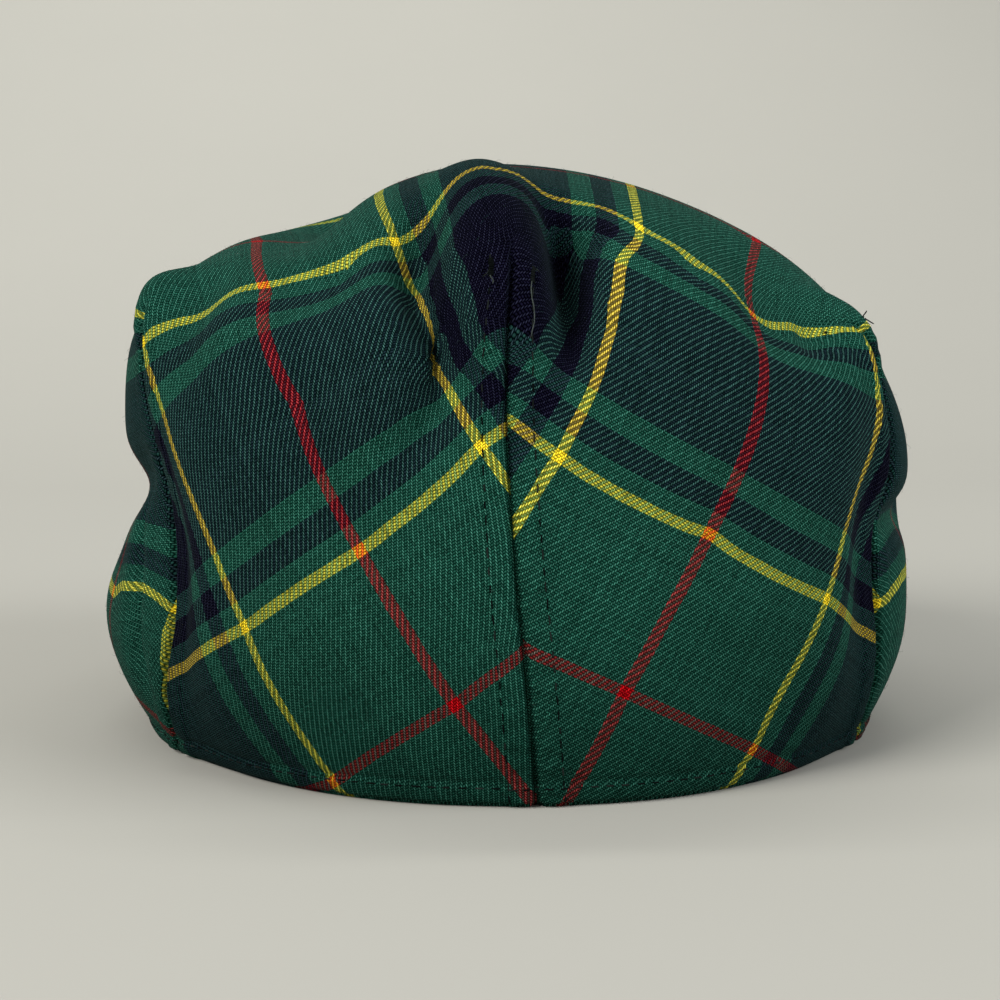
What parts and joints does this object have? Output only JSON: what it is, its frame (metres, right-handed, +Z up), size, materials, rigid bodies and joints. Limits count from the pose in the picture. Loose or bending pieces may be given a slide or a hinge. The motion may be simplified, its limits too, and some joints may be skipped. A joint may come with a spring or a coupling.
{
  "type": "flat cap",
  "caption": "Soft cloth flat cap with a full crown shaped by darts at the back and sides, and a short stiff peak under its front edge.",
  "frame": {"origin": "middle of the bounding box, on the surface that the cap rests on", "axes": "+Z up, +Y toward the peak, +X toward the wearer's right"},
  "size_m": [0.1796, 0.252, 0.125],
  "materials": {
    "cloth": "green and navy tartan wool twill",
    "peak_cloth": "the same twill over a stiff board"
  },
  "bodies": {
    "root": {"crown": "cloth", "peak": "peak_cloth"}
  },
  "joints": []
}
